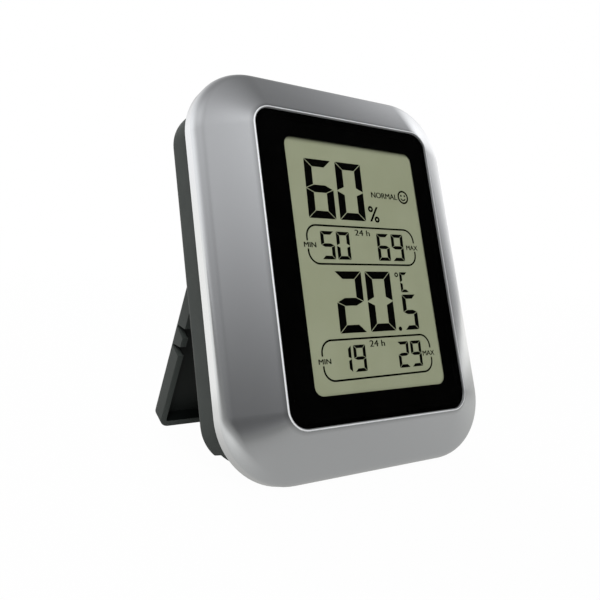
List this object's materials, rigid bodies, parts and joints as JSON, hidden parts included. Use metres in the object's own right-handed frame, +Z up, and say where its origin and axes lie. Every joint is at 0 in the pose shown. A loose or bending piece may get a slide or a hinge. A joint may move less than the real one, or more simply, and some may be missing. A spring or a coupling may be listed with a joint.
{
  "type": "temperature humidity sensor",
  "caption": "Desktop thermometer and hygrometer: bevelled frame round a bordered display, rear cover with battery bay, push buttons and hanging hole, and a fold-out stand.",
  "frame": {"origin": "on the table, under the middle of the box round the part as it rests on its open stand", "axes": "+Z up, -Y towards the reader of the display, +X to the reader's right"},
  "size_m": [0.076, 0.0538, 0.0903],
  "materials": {
    "silver_paint": "satin silver paint",
    "clear_lens": "clear, polished",
    "black_print": "printed border",
    "tape": "adhesive film",
    "polariser": "tinted film",
    "display_glass": "polished",
    "reflector_film": "grey-green film",
    "foam": "closed-cell foam",
    "white_plastic": "moulded",
    "contact_rubber": "layered",
    "board": "solder mask",
    "screw_steel": "zinc plated",
    "black_resin": "cast resin",
    "plated_metal": "nickel plated",
    "ceramic": "fired",
    "switch_plastic": "moulded",
    "dark_shell": "fine grain",
    "cell_jacket": "plain printed jacket",
    "lead_jacket": "smooth",
    "button_plastic": "satin",
    "stand_plastic": "fine grain"
  },
  "bodies": {
    "housing": {"front_bezel": "silver_paint", "display_lens": "clear_lens", "lens_mask": "black_print", "lens_tape": "tape", "lcd_polariser": "polariser", "lcd_cell": "display_glass", "lcd_reflector": "reflector_film", "lcd_pad": "foam", "lcd_frame": "white_plastic", "zebra_strips": "contact_rubber", "main_pcb": "board", "pcb_screws": "screw_steel", "chip_blob": "black_resin", "crystal": "plated_metal", "humidity_sensor": "white_plastic", "thermistor": "black_resin", "smd_parts": "ceramic", "tact_switches": "switch_plastic", "rear_cover": "dark_shell", "case_screws": "screw_steel", "battery_cell": "cell_jacket", "negative_contact": "plated_metal", "positive_contact": "plated_metal", "battery_leads": "lead_jacket"},
    "stand": {"stand": "stand_plastic"},
    "battery_door": {"battery_door": "dark_shell"},
    "unit_button": {"unit_button": "button_plastic"},
    "reset_button": {"reset_button": "button_plastic"}
  },
  "joints": [
    {"name": "stand_fold", "type": "hinge", "parent": "housing", "child": "stand", "pos_m": [0, 0.00706, 0.04509], "axis": [-1, 0, 0], "range_deg": [0, 43.8]},
    {"name": "battery_door_swing", "type": "hinge", "parent": "housing", "child": "battery_door", "pos_m": [0, 0.01256, 0.05074], "axis": [-1, 0, 0], "range_deg": [0, 70]},
    {"name": "unit_button_press", "type": "slide", "parent": "housing", "child": "unit_button", "axis": [0, -0.9252, 0.3794], "range_m": [0, 0.0005], "stiffness_N_per_m": 1000, "springref_m": -0.0002},
    {"name": "reset_button_press", "type": "slide", "parent": "housing", "child": "reset_button", "axis": [0, -0.9252, 0.3794], "range_m": [0, 0.0005], "stiffness_N_per_m": 1000, "springref_m": -0.0002}
  ]
}
